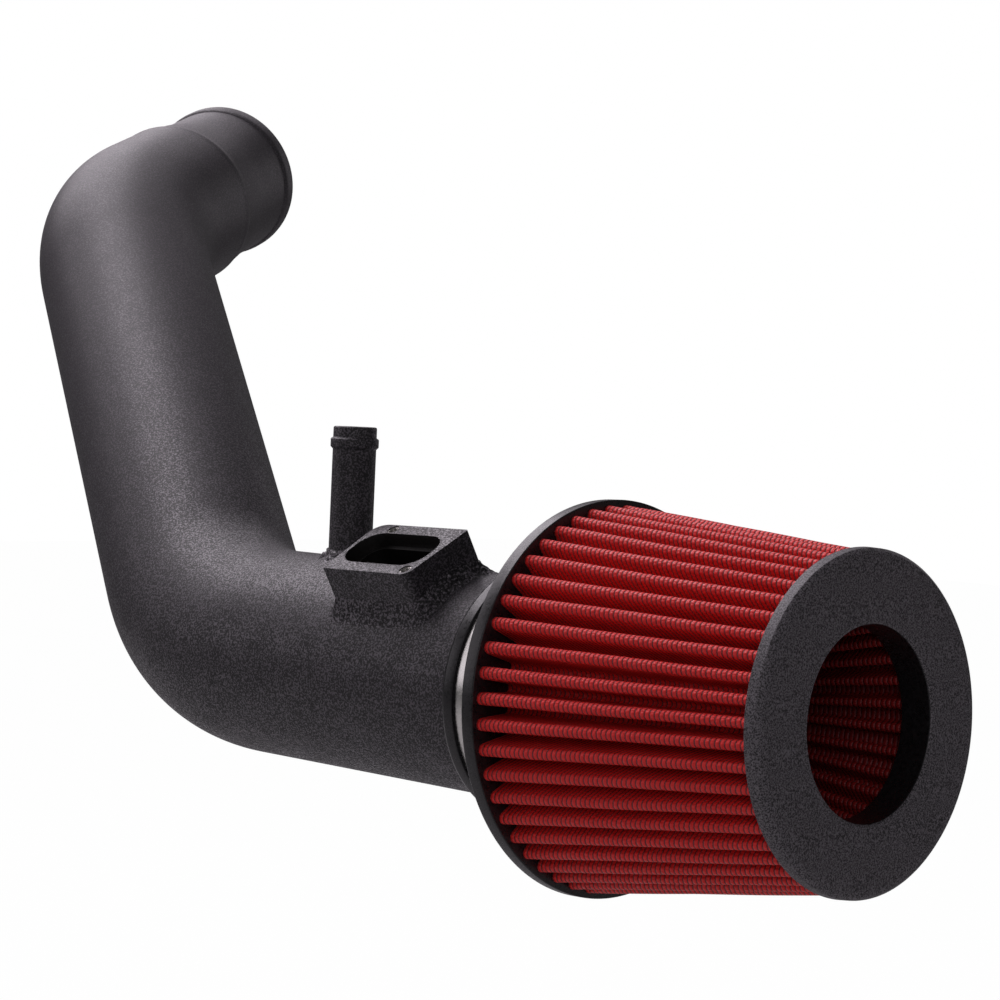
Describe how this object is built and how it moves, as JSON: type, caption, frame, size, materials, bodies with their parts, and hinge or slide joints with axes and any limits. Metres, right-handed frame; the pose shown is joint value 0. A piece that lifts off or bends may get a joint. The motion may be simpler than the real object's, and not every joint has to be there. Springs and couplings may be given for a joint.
{
  "type": "cold air intake pipe",
  "caption": "Bent powder-coated intake tube with a sensor pad, a hose nipple and a clamped cone filter with an open centre.",
  "frame": {"origin": "centre of the outlet mouth, the tube end away from the filter", "axes": "+X along the tube's straight run, towards the filter's end cap; +Z along the hose nipple"},
  "size_m": [0.6981, 0.3217, 0.3529],
  "materials": {
    "powder_coat": "fine wrinkle powder coat over aluminium",
    "inserts": "bright",
    "stainless": "bright rolled",
    "base_rubber": "satin moulded",
    "cap_rubber": "fine grained moulded",
    "filter_media": "oiled cotton under woven wire"
  },
  "bodies": {
    "root": {"intake_tube": "powder_coat", "sensor_flange": "powder_coat", "sensor_flange_weld": "powder_coat", "thread_inserts": "inserts", "breather_nipple": "powder_coat", "nipple_weld": "powder_coat", "filter_base": "base_rubber", "clamp_band": "stainless", "clamp_housing": "stainless", "clamp_screw": "stainless", "outer_pleats": "filter_media", "inner_pleats": "filter_media", "inner_cone_plate": "base_rubber", "end_cap": "cap_rubber"}
  },
  "joints": []
}
